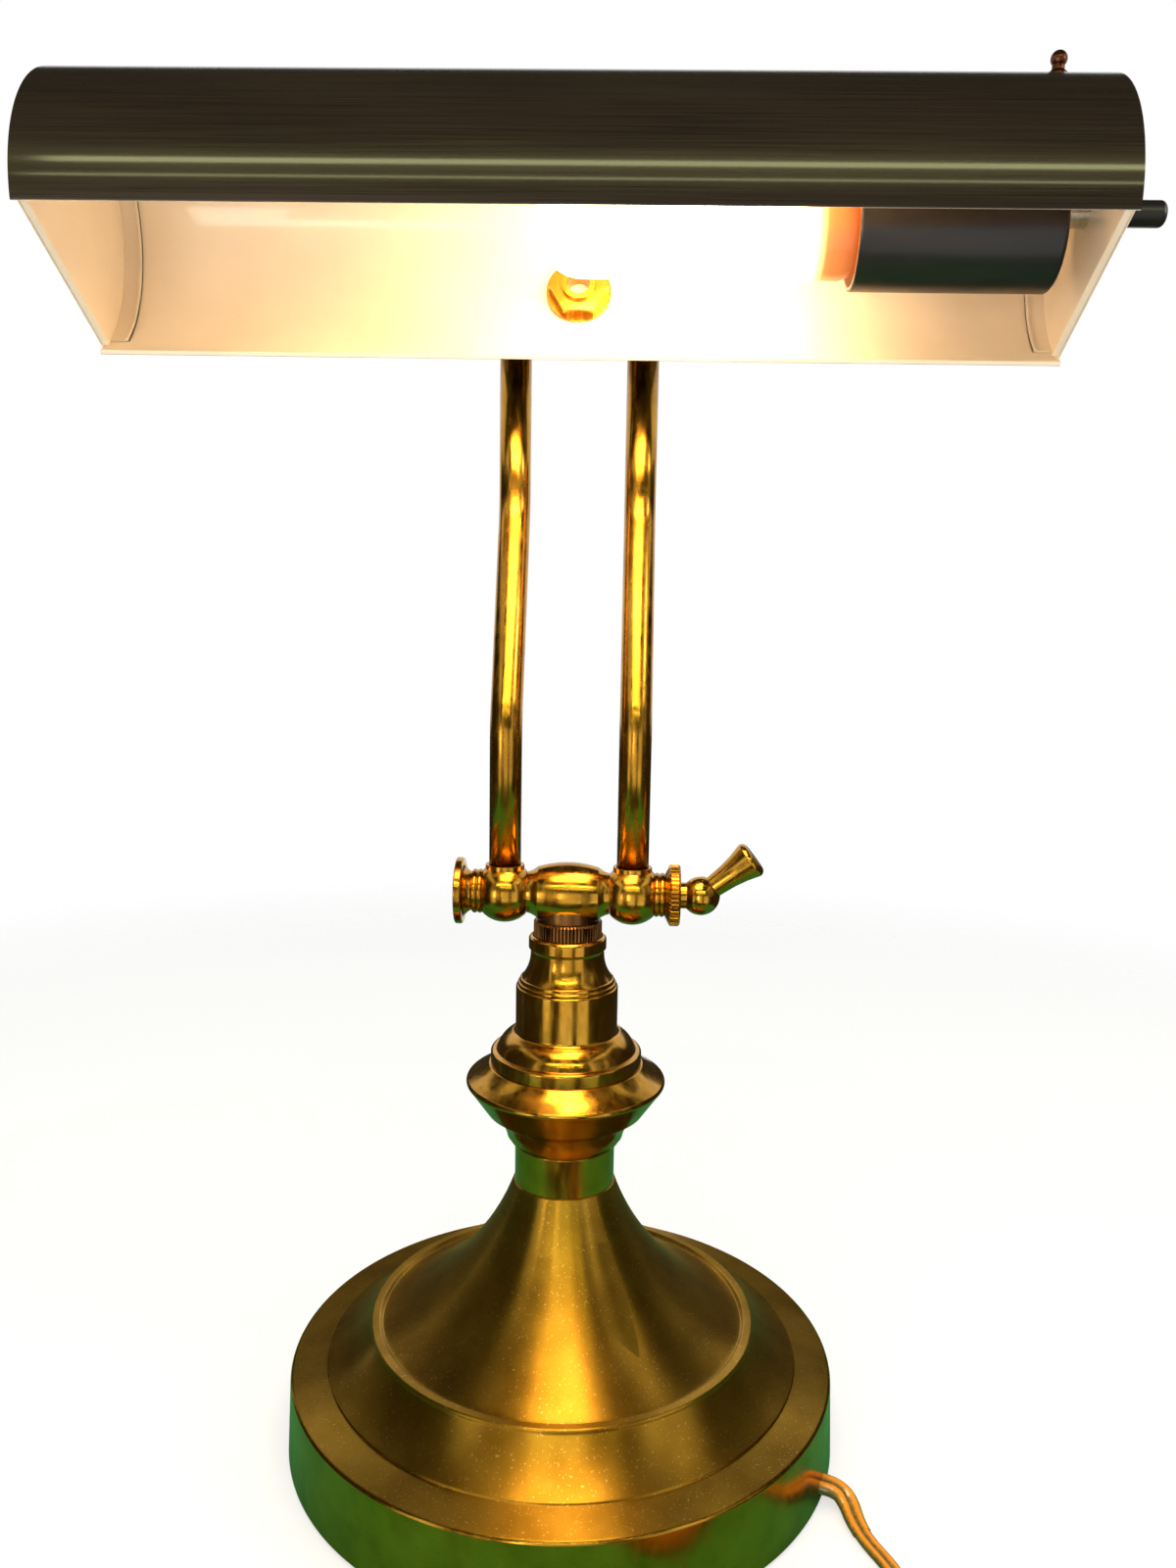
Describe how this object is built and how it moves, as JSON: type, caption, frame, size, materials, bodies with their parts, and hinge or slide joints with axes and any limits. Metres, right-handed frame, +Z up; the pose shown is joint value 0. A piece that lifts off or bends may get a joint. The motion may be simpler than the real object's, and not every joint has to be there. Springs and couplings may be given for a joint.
{
  "type": "piano lamp",
  "caption": "Brass desk lamp: weighted round foot, turned stem with a clamped swivel, two bent rods and a long half-round tilting shade with a tubular bulb and a rotary switch.",
  "frame": {"origin": "centre of the felt's underside, on the table", "axes": "+Z up the stem, +X along the shade towards the socket and switch, -Y towards the lit front"},
  "size_m": [0.3821, 0.3293, 0.5325],
  "materials": {
    "brass": "polished, lacquered",
    "brass_dark": "aged, serrated",
    "shade_bronze": "satin lacquered metal, white enamel inside",
    "phenolic": "black phenolic",
    "bulb": "frosted",
    "cap_metal": "plain",
    "steel": "zinc plated",
    "iron": "painted casting",
    "felt": "green felt",
    "cord": "translucent gold"
  },
  "bodies": {
    "base": {"felt_pad": "felt", "base_weight": "iron", "base_shell": "brass", "base_washer": "steel", "base_nut": "steel", "stem_rod": "steel", "neck_sleeve": "brass", "stem_cup": "brass", "stem_body": "brass", "stem_nut": "steel", "stem_cap": "brass", "cord_bushing": "phenolic", "cord": "cord", "cord_coil": "cord", "plug_body": "cord", "plug_blade_left": "brass", "plug_blade_right": "brass"},
    "swivel": {"lock_ring": "brass_dark", "swivel_spigot": "brass", "spigot_collar": "steel", "swivel_barrel": "brass"},
    "arm": {"pivot_bolt": "steel", "end_flange": "brass", "collar_left": "brass", "collar_right": "brass", "knuckle_left": "brass", "knuckle_right": "brass", "rod_left": "brass", "rod_right": "brass", "upper_knuckle_left": "brass", "upper_knuckle_right": "brass", "upper_bolt": "steel", "upper_cap_left": "brass", "upper_cap_right": "brass"},
    "clamp_nut": {"clamp_nut": "brass_dark"},
    "clamp_lever": {"lever_hub": "brass", "clamp_lever": "brass"},
    "shade": {"shade_barrel": "brass", "shade_saddle": "brass", "shade_nipple": "brass", "shade_washer": "brass", "shade_nut": "brass", "shade_shell": "shade_bronze", "shade_end_left": "shade_bronze", "shade_end_right": "shade_bronze", "socket_sleeve": "phenolic", "socket_core": "phenolic", "socket_shell": "brass", "socket_bracket": "steel", "bracket_screw": "brass", "bulb_glass": "bulb", "bulb_base": "cap_metal", "bulb_mount": "bulb", "switch_bushing": "brass", "switch_nut": "brass"},
    "switch": {"switch_shaft": "steel", "switch_knob": "phenolic"}
  },
  "joints": [
    {"name": "base_swivel", "type": "hinge", "parent": "base", "child": "swivel", "pos_m": [0, 0, 0.2309], "axis": [0, 0, 1], "range_deg": [-165, 165]},
    {"name": "arm_tilt", "type": "hinge", "parent": "swivel", "child": "arm", "pos_m": [0, 0, 0.2309], "axis": [1, 0, 0], "range_deg": [-60, 90]},
    {"name": "nut_turn", "type": "hinge", "parent": "arm", "child": "clamp_nut", "pos_m": [0.0414, 0, 0.2309], "axis": [1, 0, 0], "range_deg": [-180, 180]},
    {"name": "lever_turn", "type": "hinge", "parent": "arm", "child": "clamp_lever", "pos_m": [0.0527, 0, 0.2309], "axis": [1, 0, 0], "range_deg": [-170, 170]},
    {"name": "shade_tilt", "type": "hinge", "parent": "arm", "child": "shade", "pos_m": [0, 0.033, 0.458], "axis": [1, 0, 0], "range_deg": [-60, 35]},
    {"name": "switch_turn", "type": "hinge", "parent": "shade", "child": "switch", "pos_m": [0.1948, -0.02272, 0.48284], "axis": [1, 0, 0], "continuous": true}
  ]
}
